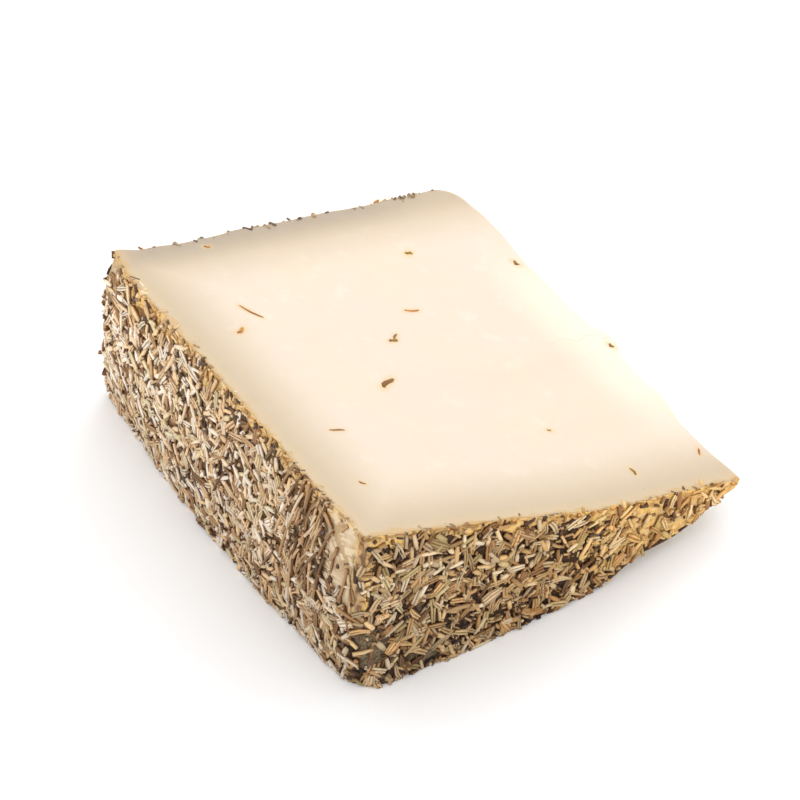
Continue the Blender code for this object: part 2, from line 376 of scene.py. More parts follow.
def face_colour(nodes, dials):
    """Ivory paste, tan towards the rind, faintly mottled, with a hairline crack near the tip."""
    place = nodes.place()
    rim = nodes.attribute("rim_mm")
    rind = nodes.attribute("rind_mm")
    wander = nodes.noise(place, 420, 4, 0.6)
    cloud = nodes.noise(place, 45, 3, 0.5)
    paste = nodes.mix(cloud.rise(0.35, 0.68), tuple(dials.paste_cool), tuple(dials.paste_warm))
    # Soft paler clouds, and a few small crystals.
    pale_cloud = nodes.noise(place, 165, 3, 0.6).rise(0.56, 0.72)
    crystal = nodes.out(nodes.cells(place, 300), "Distance").rise(0.08, 0.22, 1.0, 0.0)
    chosen = nodes.noise(place, 110, 2).rise(0.60, 0.68)
    paste = nodes.mix(pale_cloud * 0.28 + crystal * chosen * 0.22, paste, tuple(dials.curd))
    # The paste is drier and browner towards the rind.
    paste = nodes.mix(rim.rise(0.0, 20.0, 1.0, 0.0) * 0.92, paste, tuple(dials.dry_paste))
    x, y, _ = nodes.axes(place)
    far = nodes.attribute("far_mm").rise(0.0, 9.5, 1.0, 0.0) * x.rise(0.020, 0.042, 1.0, 0.45)
    paste = nodes.mix(far * x.rise(-0.046, -0.034, 0.60, 1.0) * 0.82, paste, tuple(dials.far_edge))
    # The paste is palest where light comes through the thin edge at the tip.
    thin = x.rise(0.030, 0.046) * y.rise(-0.045, -0.015) * y.rise(0.010, 0.040, 1.0, 0.0)
    paste = nodes.mix(thin * 0.7, paste, (0.86, 0.80, 0.66))
    # Along the crust it is yellow, then brown and ragged, with dark bits of herb pressed in.
    band = (rind + (wander - 0.5) * 2.4).rise(0.0, 4.2, 1.0, 0.0)
    paste = nodes.mix(band * 0.60, paste, tuple(dials.rind_band))
    sweep = nodes.noise(place, 150, 2)
    edge = (rind + (wander - 0.5) * 3.0 - (sweep - 0.45).at_least(0.0) * 6.0).rise(0.2, 1.1, 1.0, 0.0)
    paste = nodes.mix(edge * 0.75, paste, tuple(dials.rind_edge))
    bit = nodes.noise(place, 780, 2, 0.5).rise(0.55, 0.61)
    pressed = (rind + (nodes.noise(place, 240, 2) - 0.5) * 3.4).rise(0.1, 0.7, 1.0, 0.0)
    paste = nodes.mix(bit * pressed * 0.85, paste, (0.15, 0.095, 0.055))
    paste = nodes.mix(nodes.attribute("stain") * 0.42, paste, (0.72, 0.47, 0.17))
    crack = nodes.attribute("crack_mm") + (nodes.noise(place, 500, 4, 0.7) - 0.5) * 1.3
    line = crack.size().rise(0.0, 0.22, 1.0, 0.0) * nodes.attribute("crack_reach")
    return nodes.mix(line * 0.40, paste, (0.56, 0.42, 0.26))


def herb_bed_colour(nodes, dials):
    """The dark, crumbly bed under the leaves."""
    place = nodes.place()
    grain = nodes.noise(place, 1500, 3, 0.7)
    patch = nodes.noise(place, 210, 3, 0.6)
    stops = ((0.30, (0.066, 0.029, 0.008)), (0.50, (0.165, 0.082, 0.026)), (0.72, (0.36, 0.21, 0.080)))
    bed = nodes.ramp(grain * 0.6 + patch * 0.4, stops)
    # Painted shade and light: the bed is painted darker on the front wall, which faces away from the key
    # light, and lighter on the far half of the side.
    depth = nodes.axes(place)[1]
    front = depth.rise(-0.0505, -0.0485, 1.0, 0.0)
    bed = nodes.toned(front, bed, (0.30, 0.24, 0.25))
    far = depth.rise(-0.030, 0.040) * depth.rise(0.046, 0.052, 1.0, 0.0) * 0.7
    bed = nodes.toned(far, bed, (1.9, 1.7, 1.5))
    ragged = (nodes.noise(place, 420, 4, 0.65) - 0.5) * 1.6
    gold = (nodes.attribute("golden") * 1.1 + ragged).rise(0.45, 0.62)
    lit = nodes.noise(place, 700, 3, 0.6).rise(0.36, 0.62)
    rind = nodes.mix(lit, tuple(dials.golden_shade), tuple(dials.golden_rind))
    rind = nodes.mix(nodes.noise(place, 560, 2).rise(0.54, 0.62) * 0.4, rind, (0.94, 0.74, 0.46))
    bed = nodes.mix(gold, bed, rind)
    creased = nodes.noise(nodes.stretched(place, (1.0, 1.0, 0.30)), 900, 3, 0.6).rise(0.38, 0.62)
    folded = nodes.mix(creased, (0.20, 0.110, 0.050), (0.60, 0.385, 0.200))
    bed = nodes.mix(nodes.attribute("fold"), bed, folded)
    # The bed is darker in the patches at the foot of the front corner.
    damp = nodes.mix(grain.rise(0.35, 0.65), (0.070, 0.046, 0.024), (0.22, 0.160, 0.085))
    bed = nodes.mix(nodes.attribute("damp"), bed, damp)
    # Where the herbs have come off the rind is bare, tan and printed with the leaves' marks.
    prints = 0.0
    for angle, stretch in ((0.75, 700.0), (-0.60, 640.0), (0.25, 560.0)):
        across = nodes.stretched(nodes.turned(place, angle), (1.0, 0.24, 1.0))
        prints = nodes.noise(across, stretch, 2, 0.45).rise(0.535, 0.60) + prints
    marked = nodes.noise(place, 150, 2).rise(0.35, 0.60, 0.30, 1.0)
    bare = nodes.mix(prints.at_most(1.0) * marked, tuple(dials.bare_rind), tuple(dials.bare_shade))
    return nodes.mix(nodes.attribute("bare"), bed, bare)


def cheese_colour(nodes, dials):
    crust = nodes.attribute("crust")
    ragged = nodes.noise(nodes.place(), 650, 3, 0.6)
    share = (crust + (ragged - 0.5) * 0.5).rise(0.42, 0.60)
    return nodes.mix(share, face_colour(nodes, dials), herb_bed_colour(nodes, dials))


def cheese_roughness(nodes):
    crust = nodes.attribute("crust")
    gleam = nodes.noise(nodes.place(), 260, 3)
    return gleam.rise(0.3, 0.7, 0.42, 0.56) * (1 - crust) + crust * 0.85


def cheese_normal(nodes):
    """Fine knife drag along the cut, small pits, the crack, and a rough bed under the herbs."""
    place = nodes.place()
    crust = nodes.attribute("crust")
    drag = nodes.noise(nodes.stretched(place, (0.25, 1.0, 1.0)), 260, 4, 0.6)
    pit = nodes.out(nodes.cells(place, 240), "Distance").rise(0.02, 0.14)
    pitted = nodes.noise(place, 75, 2).rise(0.52, 0.62)
    paste_height = drag * 0.25 + 1.0 - (1 - pit) * pitted * 0.5
    crack = nodes.attribute("crack_mm")
    jag = nodes.noise(place, 500, 4, 0.7)
    line = (crack + (jag - 0.5) * 1.3).size().rise(0.0, 0.16, 1.0, 0.0)
    paste_height = paste_height - line * nodes.attribute("crack_reach") * 0.5
    bed_height = nodes.noise(place, 1300, 4, 0.7)
    height = paste_height * (1 - crust) + bed_height * crust * 2.5
    return nodes.bump(height, 0.55, 0.00035)


def bare_share(face, s, t, v):
    """How far the herbs have come off the rind there, from 0 to 1."""
    if face == "side":
        lower = v + 0.10 * noise.noise(Vector((t * 40, v * 8, 0.0)))
        across = smooth_step(0.014, 0.030, t) * (1 - smooth_step(0.100, 0.124, t))
        near = across * smooth_step(0.50, 0.58, lower)
        far = smooth_step(0.90, 0.97, t) * smooth_step(0.66, 0.84, v)
        return max(near, 0.85 * far)
    return 0.0


def golden_share(face, s, t, v):
    """How far the yellow rind shows between the herbs, which is most near the tip."""
    if face == "side":
        ridge = 0.9 * (1 - smooth_step(0.012, 0.030, t)) * smooth_step(0.38, 0.52, v)
        return max(rim_gold(s, t, v), ridge)
    ragged = 0.30 * noise.noise(Vector((s * 48, v * 9, 0.0)))
    by_tip = smooth_step(0.38, 0.80, s) * smooth_step(0.01, 0.11, v + ragged)
    gold = max(rim_gold(s, t, v), by_tip)
    if face == "front":
        gold = max(gold, 0.55 * (1 - smooth_step(0.02, 0.07, s)) * smooth_step(0.38, 0.52, v))
    return 0.55 * gold if face == "back" else gold


def fold_share(face, s, t, v):
    """The rind is folded and brown down the wedge's near corner."""
    upper = smooth_step(0.28, 0.42, v + 0.08 * noise.noise(Vector((s * 60, v * 9, 0.0))))
    if face == "side":
        return upper * (1 - smooth_step(0.010, 0.024, t))
    return upper * (1 - smooth_step(0.006, 0.020, s)) if face == "front" else 0.0


def rim_gold(s, t, v):
    """Golden rind along the top of the crust, in ragged patches."""
    ragged = noise.noise(Vector((s * 17, t * 17, 3.7)))
    return smooth_step(0.900, 0.940, v + 0.095 * ragged)


def dark_patch_share(face, s, t, v):
    """The smooth, dark patches at the foot of the front corner."""
    if face != "front":
        return 0.0
    near = ((s - 0.035) / 0.044) ** 2 + ((v - 0.26) / 0.17) ** 2
    foot = ((s - 0.155) / 0.038) ** 2 + ((v - 0.10) / 0.07) ** 2
    return 1 - smooth_step(0.6, 1.3, min(near, foot))


def grid_patch(lines_a, lines_b, shares, start):
    """Vertices and faces of one side of the box of skin shares."""
    places = [shares(a / lines_a, b / lines_b) for a in range(lines_a + 1) for b in range(lines_b + 1)]
    across = lines_b + 1
    faces = []
    for a in range(lines_a):
        for b in range(lines_b):
            corner = start + a * across + b
            faces.append((corner, corner + across, corner + across + 1, corner + 1))
    return places, faces


def wedge_surface(sides):
    """Skin points, their shares and the faces of the sides asked for, as (name, lines, lines)."""
    share_of = {
        "cut": lambda a, b: (a, b, 1.0),
        "rest": lambda a, b: (b, a, 0.0),
        "tip": lambda a, b: (1.0, a, b),
        "side": lambda a, b: (0.0, b, a),
        "front": lambda a, b: (a, 0.0, b),
        "back": lambda a, b: (b, 1.0, a),
    }
    places, faces, names = [], [], []
    for name, lines_a, lines_b in sides:
        more, faced = grid_patch(lines_a, lines_b, share_of[name], len(places))
        places += more
        faces += faced
        names += [name] * len(more)
    points = [skin_point(*share) for share in places]
    return points, places, faces, names


def new_mesh(name, points, faces):
    mesh = bpy.data.meshes.new(name)
    mesh.from_pydata([tuple(point) for point in points], [], faces)
    mesh.update()
    return mesh


def new_piece(name, mesh):
    piece = bpy.data.objects.new(name, mesh)
    bpy.context.scene.collection.objects.link(piece)
    return piece


def float_attribute(mesh, name, values):
    layer = mesh.attributes.new(name, "FLOAT", "POINT")
    layer.data.foreach_set("value", np.asarray(values, dtype=np.float32))


def merge_doubles(mesh, reach):
    work = bmesh.new()
    work.from_mesh(mesh)
    bmesh.ops.remove_doubles(work, verts=work.verts, dist=reach)
    bmesh.ops.recalc_face_normals(work, faces=work.faces)
    work.to_mesh(mesh)
    work.free()


def rim_distances(point, share):
    """Millimetres from a place on the cut face to its side, front and back edges."""
    s, t = rounded_plan(share[0], share[1], 1.0)
    to_side = (point.x - side_x(t, 1.0)) * 1000
    to_front = (point.y - front_y(s, 1.0)) * 1000
    to_back = (back_y(s, 1.0) - point.y) * 1000
    return to_side, to_front, to_back


def stain_share(point):
    """How strongly the oil round a caught leaf tints the paste there."""
    spot = Vector((point.x * 1000, point.y * 1000))
    share = 0.0
    for x1, y1, x2, y2, width, _ in CAUGHT_LEAVES:
        start, stop = Vector((x1, y1)), Vector((x2, y2))
        run = stop - start
        along = min(1.0, max(0.0, (spot - start).dot(run) / run.length_squared))
        gap = max(0.0, (spot - start - run * along).length - width / 2)
        share = max(share, 1 - smooth_step(0.0, 0.9, gap))
    return share


# Ends of the hairline crack on the cut face and how far it wanders, in millimetres.
CRACK_START = (29.4, -0.6)
CRACK_END = (48.8, -1.7)
CRACK_WANDER = 0.8


def crack_distance(point):
    """Millimetres from the hairline crack's line, and how strongly it shows there."""
    x, y = point.x * 1000, point.y * 1000
    along = (x - CRACK_START[0]) / (CRACK_END[0] - CRACK_START[0])
    off = y - blend(CRACK_START[1], CRACK_END[1], along) - CRACK_WANDER * sin(x * 0.9)
    reach = smooth_step(-0.05, 0.10, along) * (0.4 + 0.6 * smooth_step(0.3, 0.9, along))
    return off, reach


def build_cheese(dials):
    fine = dials.surface_lines
    sides = (
        ("cut", fine, fine),
        ("rest", 40, 40),
        ("tip", fine, 10),
        ("side", 40, fine),
        ("front", fine, 40),
        ("back", 40, fine),
    )
    points, places, faces, names = wedge_surface(sides)
    mesh = new_mesh("cheese_wedge", points, faces)
    crust, rim, rind, far, bare, golden, fold, damp, off, reach, stain = ([] for _ in range(11))
    for point, share, name in zip(points, places, names):
        walled = name in ("side", "front", "back")
        on_edge = share[0] < 1e-6 or share[1] < 1e-6 or share[1] > 1 - 1e-6
        crust.append(1.0 if walled and 0.0 < share[2] < 1.0 else (0.5 if on_edge else 0.0))
        near_side, near_front, near_back = rim_distances(point, share)
        rim.append(max(0.0, min(near_side, near_front, near_back)))
        rind.append(max(0.0, min(near_side, near_front)))
        far.append(max(0.0, near_back))
        bare.append(bare_share(name, *share))
        golden.append(golden_share(name, *share))
        fold.append(fold_share(name, *share))
        damp.append(dark_patch_share(name, *share))
        stain.append(stain_share(point) if name == "cut" else 0.0)
        line = crack_distance(point)
        off.append(line[0])
        reach.append(line[1] if name == "cut" else 0.0)
    for name, values in (
        ("crust", crust), ("rim_mm", rim), ("rind_mm", rind), ("far_mm", far), ("bare", bare),
        ("golden", golden), ("fold", fold), ("damp", damp), ("crack_mm", off), ("crack_reach", reach),
        ("stain", stain),
    ):
        float_attribute(mesh, name, values)
    merge_doubles(mesh, 1e-6)
    mesh.shade_smooth()
    return new_piece("cheese_wedge", mesh)


# Rosemary.


def leaf_form(name, length, width, rise, section, bend, twist, stations=4, ends=(0.7, 0.9)):
    """A dry leaf along X. Each section point is (across, up, shade value): high on the pale rolled margins
    and the top, as a painted highlight, low on the sides, groove and underside, as painted shade. Bend and
    twist curl it.
    """
    points, pale_and_shade, faces = [], [], []
    count = len(section)
    for k in range(stations):
        share = k / (stations - 1)
        along = (share - 0.5) * length
        scale = blend(blend(ends[0], ends[1], share), 1.0, bow(share))
        turn = twist * (share - 0.5)
        for across, up, pale in section:
            y = across * width / 2 * scale
            z = up * rise * scale
            turned_y = y * cos(turn) - z * sin(turn)
            turned_z = y * sin(turn) + z * cos(turn)
            arch = bend * bow(share)
            points.append((along, turned_y + arch, turned_z + 0.35 * arch))
            pale_and_shade.append(pale)
    for k in range(stations - 1):
        for j in range(count):
            after = (j + 1) % count
            ring, following = k * count, (k + 1) * count
            faces.append((ring + j, ring + after, following + after, following + j))
    faces.append(tuple(range(count - 1, -1, -1)))
    faces.append(tuple((stations - 1) * count + j for j in range(count)))
    mesh = new_mesh(name, points, faces)
    float_attribute(mesh, "pale", pale_and_shade)
    work = bmesh.new()
    work.from_mesh(mesh)
    bmesh.ops.recalc_face_normals(work, faces=work.faces)
    work.to_mesh(mesh)
    work.free()
    return bpy.data.objects.new(name, mesh)


# The third value of each section point paints light and shade: high on the leaf's top and pale rolled
# margins, low on its sides, groove and underside. On the flat leaves it is painted light on the ridges and
# painted shade in the hollows.
GROOVED = (
    (-0.72, -0.55, 0.05), (0.72, -0.55, 0.05), (1.0, 0.05, 0.30),
    (0.66, 0.60, 1.0), (0.0, 0.16, 0.12), (-0.66, 0.60, 1.0), (-1.0, 0.05, 0.30),
)
RIDGED = (
    (-0.60, -0.50, 0.05), (0.60, -0.50, 0.05), (1.0, 0.0, 0.20),
    (0.45, 0.52, 1.0), (-0.45, 0.52, 0.80), (-1.0, 0.0, 0.20),
)
FLAT = (
    (-0.95, -0.30, 0.05), (0.95, -0.30, 0.05), (1.0, 0.15, 0.8), (0.66, 0.45, 0.10), (0.33, 0.60, 1.0),
    (0.0, 0.45, 0.05), (-0.33, 0.60, 1.0), (-0.66, 0.45, 0.10), (-1.0, 0.15, 0.8),
)
STALK = ((-0.7, -0.7, 0.1), (0.7, -0.7, 0.1), (1.0, 0.2, 0.5), (0.0, 0.9, 1.0), (-1.0, 0.2, 0.4))
CRUMB = ((-0.9, -0.6, 0.2), (0.8, -0.7, 0.2), (0.7, 0.6, 1.0), (-0.5, 0.7, 0.7))

# Kind of herb: its forms as (section, length, width, rise, bend, twist) in millimetres and radians.
FORMS = {
    "straw": (
        (RIDGED, 3.6, 1.20, 0.74, 0.0, 0.0), (RIDGED, 4.4, 1.05, 0.70, 0.12, 0.2),
        (GROOVED, 3.6, 1.30, 0.74, 0.0, -0.2), (RIDGED, 2.5, 1.35, 0.70, 0.0, 0.0),
        (GROOVED, 4.8, 1.15, 0.68, -0.25, 0.3),
    ),
    "bed": (
        (RIDGED, 3.8, 1.15, 0.50, 0.1, 0.3), (GROOVED, 3.4, 1.10, 0.50, -0.1, 0.0),
        (RIDGED, 2.6, 1.30, 0.45, 0.0, -0.4),
    ),
    "flat": ((FLAT, 4.6, 2.5, 0.42, 0.1, 0.15), (FLAT, 3.6, 2.1, 0.40, -0.1, -0.2)),
    "stalk": (
        (STALK, 14.0, 0.62, 0.50, 0.35, 0.2), (STALK, 9.0, 0.80, 0.55, -0.2, 0.0),
        (STALK, 6.0, 0.55, 0.50, 0.0, 0.0),
    ),
    "chip": (
        (CRUMB, 1.9, 1.20, 0.60, 0.0, 0.3), (CRUMB, 1.2, 1.00, 0.55, 0.0, 0.0),
        (RIDGED, 2.6, 0.95, 0.55, 0.1, 0.2),
    ),
    "crumb": (
        (CRUMB, 1.2, 0.90, 0.50, 0.0, 0.4), (CRUMB, 0.9, 0.75, 0.45, 0.0, 0.0),
        (CRUMB, 1.8, 0.75, 0.45, 0.1, 0.3),
    ),
}


def herb_shelf(kind):
    """A collection that holds one kind's forms while they are being strewn."""
    shelf = bpy.data.collections.new(kind + "_forms")
    for number, (section, length, width, rise, bend, twist) in enumerate(FORMS[kind]):
        stations = {"crumb": 2, "chip": 2, "stalk": 6}.get(kind, 3)
        form = leaf_form(
            kind + "_form_%d" % number, length / 1000, width / 1000, rise / 1000,
            section, bend / 1000, twist, stations,
        )
        shelf.objects.link(form)
    return shelf


def clear_shelf(shelf):
    for form in list(shelf.objects):
        mesh = form.data
        bpy.data.objects.remove(form)
        bpy.data.meshes.remove(mesh)
    bpy.data.collections.remove(shelf)


def strewing_tree(name):
    """Strews the forms of a collection over a surface, turned at random and tilted a little."""
    tree = bpy.data.node_groups.new(name, "GeometryNodeTree")
    face = tree.interface
    face.new_socket(name="Surface", in_out="INPUT", socket_type="NodeSocketGeometry")
    for label, kind in (
        ("Forms", "NodeSocketCollection"), ("Finish", "NodeSocketMaterial"),
        ("Number per Square Metre", "NodeSocketFloat"), ("Clearance", "NodeSocketFloat"),
        ("Deepest", "NodeSocketFloat"), ("Highest", "NodeSocketFloat"), ("Tilt", "NodeSocketFloat"),
        ("Shortest", "NodeSocketFloat"), ("Longest", "NodeSocketFloat"),
        ("Middle Heading", "NodeSocketFloat"), ("Heading Spread", "NodeSocketFloat"),
        ("Seed", "NodeSocketInt"),
    ):
        face.new_socket(name=label, in_out="INPUT", socket_type=kind)
    face.new_socket(name="Strewn", in_out="OUTPUT", socket_type="NodeSocketGeometry")
    nodes = Nodes(tree)
    given = nodes.add("NodeGroupInput")

    def chance(low, high, offset, kind="FLOAT"):
        first = {"FLOAT_VECTOR": 0, "FLOAT": 2}[kind]
        values = {first: low, first + 1: high, 8: nodes.out(given, "Seed") + offset}
        made = nodes.add("FunctionNodeRandomValue", {"data_type": kind}, values)
        return nodes.out(made, {"FLOAT_VECTOR": 0, "FLOAT": 1}[kind])

    cover = nodes.add("GeometryNodeInputNamedAttribute", {"data_type": "FLOAT"}, {"Name": "cover"})
    scatter = nodes.add(
        "GeometryNodeDistributePointsOnFaces", {"distribute_method": "POISSON"},
        {
            "Mesh": nodes.out(given, "Surface"),
            "Distance Min": nodes.out(given, "Clearance"),
            "Density Max": nodes.out(given, "Number per Square Metre"),
            "Density Factor": nodes.out(cover, "Attribute"),
            "Seed": nodes.out(given, "Seed"),
        },
    )
    lift = chance(nodes.out(given, "Deepest"), nodes.out(given, "Highest"), 11)
    raised = nodes.add(
        "ShaderNodeVectorMath", {"operation": "SCALE"},
        {0: nodes.out(scatter, "Normal"), "Scale": lift},
    )
    moved = nodes.add(
        "GeometryNodeSetPosition", None,
        {"Geometry": nodes.out(scatter, "Points"), "Offset": nodes.out(raised, "Vector")},
    )
    tilt = nodes.out(given, "Tilt")
    middle = nodes.out(given, "Middle Heading")
    spread = nodes.out(given, "Heading Spread")
    turn = nodes.add(
        "ShaderNodeCombineXYZ", None,
        {
            "X": chance(tilt * -1.5, tilt * 1.5, 23),
            "Y": chance(tilt * -1.0, tilt, 37),
            "Z": chance(middle - spread, middle + spread, 41),
        },
    )
    # The heading is turned first about the surface's own normal, then the leaf is tilted.
    heading = nodes.add("FunctionNodeEulerToRotation", None, {"Euler": nodes.out(turn, "Vector")})
    faced = nodes.add(
        "FunctionNodeRotateRotation", {"rotation_space": "LOCAL"},
        {"Rotation": nodes.out(scatter, "Rotation"), "Rotate By": nodes.out(heading, "Rotation")},
    )
    size = nodes.add(
        "ShaderNodeCombineXYZ", None,
        {
            "X": chance(nodes.out(given, "Shortest"), nodes.out(given, "Longest"), 53),
            "Y": chance(0.78, 1.22, 59),
            "Z": chance(0.8, 1.25, 61),
        },
    )
    shelf = nodes.add(
        "GeometryNodeCollectionInfo", {"transform_space": "ORIGINAL"},
        {"Collection": nodes.out(given, "Forms"), "Separate Children": True, "Reset Children": True},
    )
    placed = nodes.add(
        "GeometryNodeInstanceOnPoints", None,
        {
            "Points": nodes.out(moved, "Geometry"),
            "Instance": nodes.out(shelf, "Instances"),
            "Pick Instance": True,
            "Rotation": nodes.out(faced, "Rotation"),
            "Scale": nodes.out(size, "Vector"),
        },
    )
    tinted = nodes.add(
        "GeometryNodeStoreNamedAttribute", {"data_type": "FLOAT", "domain": "INSTANCE"},
        {"Geometry": nodes.out(placed, "Instances"), "Name": "tint", "Value": chance(0.0, 1.0, 71)},
    )
    real = nodes.add("GeometryNodeRealizeInstances", None, {"Geometry": nodes.out(tinted, "Geometry")})
    dressed = nodes.add(
        "GeometryNodeSetMaterial", None,
        {"Geometry": nodes.out(real, "Geometry"), "Material": nodes.out(given, "Finish")},
    )
    nodes.add("NodeGroupOutput", None, {"Strewn": nodes.out(dressed, "Geometry")})
    return tree


# Metres. Leaves stay this far over the floor and below the cut face. The cut face is nowhere lower
# than the first height, and the underside leaves the floor beyond the second place.
FLOOR_GAP = 0.00005
CUT_GAP = 0.0003
LOWEST_CUT = 0.005
UNDERSIDE_FROM = 0.006
# How far a leaf outside the cut face's edge may stand over it, and the ragged edge's grain.
EDGE_STAND = 0.00015
EDGE_RAGGED = (0.00010, 0.0020, 0.0019)


def keep_within(mesh):
    """Cuts strewn leaves flush with the upper cut face, tucks them under its edge, clears the floor."""
    count = len(mesh.vertices)
    places = np.empty(count * 3, dtype=np.float32)
    mesh.vertices.foreach_get("co", places)
    places = places.reshape(count, 3)
    for k in range(count):
        x, y, z = (float(value) for value in places[k])
        if z > LOWEST_CUT:
            top, s, t = cut_height_over(x, y)
            kept = min(1.0, max(0.0, s))
            from_side = x - side_x(min(1.0, max(0.0, t)), 1.0)
            inside = min(from_side, y - front_y(kept, 1.0), back_y(kept, 1.0) - y)
            least, most, grain = EDGE_RAGGED
            ragged = least + most * max(0.0, noise.noise(Vector((x, y, 0.0)) / grain))
            if inside > ragged:
                places[k, 2] = min(z, top - CUT_GAP)
            elif z > top:
                places[k, 2] = top + min(EDGE_STAND, 0.12 * (z - top))
        lowest = FLOOR_GAP
        if x > UNDERSIDE_FROM:
            lowest += underside(cut_height_over(x, y)[1])
        if z < lowest:
            places[k, 2] = lowest
    mesh.vertices.foreach_set("co", places.reshape(-1))
    mesh.update()


def strew(name, surface, kind, finish, settings, flush=True):
    """Runs the strewing tree on a surface. Without a heading in the settings, leaves lie any way."""
    shelf = herb_shelf(kind)
    tree = strewing_tree(name + "_strewing")
    emitter = new_piece(name + "_ground", surface)
    modifier = emitter.modifiers.new("strew", "NODES")
    modifier.node_group = tree
    inputs = [item for item in tree.interface.items_tree if item.in_out == "INPUT"]
    identifiers = {item.name: item.identifier for item in inputs}
    given = {"Middle Heading": 0.0, "Heading Spread": pi, **settings, "Forms": shelf, "Finish": finish}
    for label, value in given.items():
        modifier[identifiers[label]] = value
    bpy.context.view_layer.update()
    graph = bpy.context.evaluated_depsgraph_get()
    mesh = bpy.data.meshes.new_from_object(emitter.evaluated_get(graph))
    mesh.name = name
    bpy.data.objects.remove(emitter)
    clear_shelf(shelf)
    bpy.data.node_groups.remove(tree)
    if not len(mesh.polygons):
        raise RuntimeError(name + " came out empty")
    if flush:
        keep_within(mesh)
    mesh.materials.clear()
    mesh.materials.append(finish)
    mesh.shade_smooth()
    return new_piece(name, mesh)


def crust_ground(name, cover, walls=("side", "front", "back")):
    """The crusted walls as ground to strew on, with how much of it a kind covers at each point."""
    lines = {"side": ("side", 30, 60), "front": ("front", 60, 30), "back": ("back", 30, 60)}
    points, places, faces, names = wedge_surface([lines[wall] for wall in walls])
    mesh = new_mesh(name, points, faces)
    float_attribute(mesh, "cover", [cover(n, *share) for n, share in zip(names, places)])
    mesh.update()
    flip_if_inward(mesh)
    return mesh


WEDGE_MIDDLE = (-0.005, 0.0, 0.018)


def flip_if_inward(mesh):
    """Turns the ground's faces so that their normals point away from the wedge's middle."""
    middle = Vector(WEDGE_MIDDLE)
    wrong = [face for face in mesh.polygons if (face.center - middle).dot(face.normal) < 0]
    if len(wrong) > len(mesh.polygons) / 2:
        mesh.flip_normals()
    elif wrong:
        work = bmesh.new()
        work.from_mesh(mesh)
        work.faces.ensure_lookup_table()
        bmesh.ops.reverse_faces(work, faces=[work.faces[face.index] for face in wrong])
        work.to_mesh(mesh)
        work.free()


def herb_material(name, ramp_stops, groove_shade=0.30, rough=0.62, front_shade_tone=(0.975, 0.925, 0.79)):
    """Dry leaf: a tint for each leaf, pale rolled margins with a painted highlight, painted shade in the
    grooves and on the sides and underside, fine fibres.
    """

    def colour(nodes):
        tint = nodes.attribute("tint")
        pale = nodes.attribute("pale")
        place = nodes.place()
        leaf = nodes.ramp(tint, ramp_stops)
        # Painted light and shade: the herbs are painted lighter on the far half of the side and darker in
        # front, where the wall faces away from the key light. They are also browner in front, and brighter
        # and yellower towards the tip.
        x, y, z = nodes.axes(place)
        far = y.rise(-0.045, 0.040)
        front = y.rise(-0.0505, -0.0485, 1.0, 0.0)
        low = z.rise(0.002, 0.024, 1.0, 0.0)
        leaf = nodes.mix(1.0, leaf, nodes.mix(far, (0.95, 0.93, 0.92), (1.13, 1.13, 1.16)), "MULTIPLY")
        leaf = nodes.toned(front, leaf, front_shade_tone)
        # No two leaves are equally dark. The random darkening is strongest in front, where it adds to the
        # painted shade, and it fades towards the tip and on the far half.
        shaded = (1 - (tint * 13.7).fraction()) * (front * 0.60 + 0.35) * x.rise(-0.010, 0.045, 1.0, 0.35)
        shaded = shaded * (1 - far * 0.6)
        leaf = nodes.toned(shaded, leaf, (0.48, 0.41, 0.32))
        # Painted shade: the herbs are darker low on the walls, near the floor.
        leaf = nodes.toned(low * 0.40, leaf, (0.58, 0.54, 0.50))
        leaf = nodes.toned(x.rise(-0.035, 0.030) * 0.9, leaf, (1.38, 1.25, 0.95))
        fibre = nodes.noise(place, 2600, 2, 0.6)
        groove = (groove_shade * 1.30, groove_shade * 0.80, groove_shade * 0.44)
        dark = nodes.mix(1.0, leaf, groove, "MULTIPLY")
        # Painted highlight and shade: where the pale attribute is high the leaf takes its lit colour, and
        # where it is low the darker groove colour.
        body = nodes.mix((pale * 0.95 + fibre * 0.3 - 0.1).rise(0.10, 0.80), dark, leaf)
        stain = nodes.noise(place, 520, 3, 0.6).rise(0.55, 0.75)
        return nodes.mix(stain * 0.45, body, (0.16, 0.085, 0.034))

    def roughness(nodes):
        return nodes.noise(nodes.place(), 900, 2).rise(0.3, 0.7, rough - 0.08, rough + 0.12)

    def normal(nodes):
        return nodes.bump(nodes.noise(nodes.place(), 3200, 2, 0.6), 0.5, 0.00008)

    return finish_material(name, colour, roughness, normal, {"Specular IOR Level": 0.35})


STRAW_STOPS = (
    (0.00, (0.26, 0.13, 0.055)), (0.10, (0.50, 0.29, 0.13)), (0.26, (0.80, 0.57, 0.32)),
    (0.42, (0.88, 0.77, 0.60)), (0.58, (0.93, 0.84, 0.71)), (0.67, (0.68, 0.59, 0.32)),
    (0.76, (0.86, 0.67, 0.41)), (0.89, (0.88, 0.58, 0.29)), (1.00, (0.95, 0.89, 0.78)),
)
BED_STOPS = (
    (0.00, (0.055, 0.030, 0.014)), (0.35, (0.120, 0.066, 0.032)), (0.65, (0.24, 0.140, 0.062)),
    (0.82, (0.15, 0.098, 0.056)), (1.00, (0.48, 0.31, 0.15)),
)
DARK_STOPS = (
    (0.00, (0.055, 0.034, 0.026)), (0.40, (0.12, 0.078, 0.062)), (0.70, (0.20, 0.140, 0.115)),
    (1.00, (0.14, 0.12, 0.075)),
)
STALK_STOPS = (
    (0.00, (0.17, 0.085, 0.032)), (0.35, (0.37, 0.215, 0.100)), (0.70, (0.62, 0.42, 0.22)),
    (1.00, (0.86, 0.70, 0.48)),
)
CRUMB_STOPS = (
    (0.00, (0.10, 0.055, 0.035)), (0.35, (0.34, 0.22, 0.12)), (0.65, (0.70, 0.52, 0.32)),
    (1.00, (0.86, 0.74, 0.55)),
)
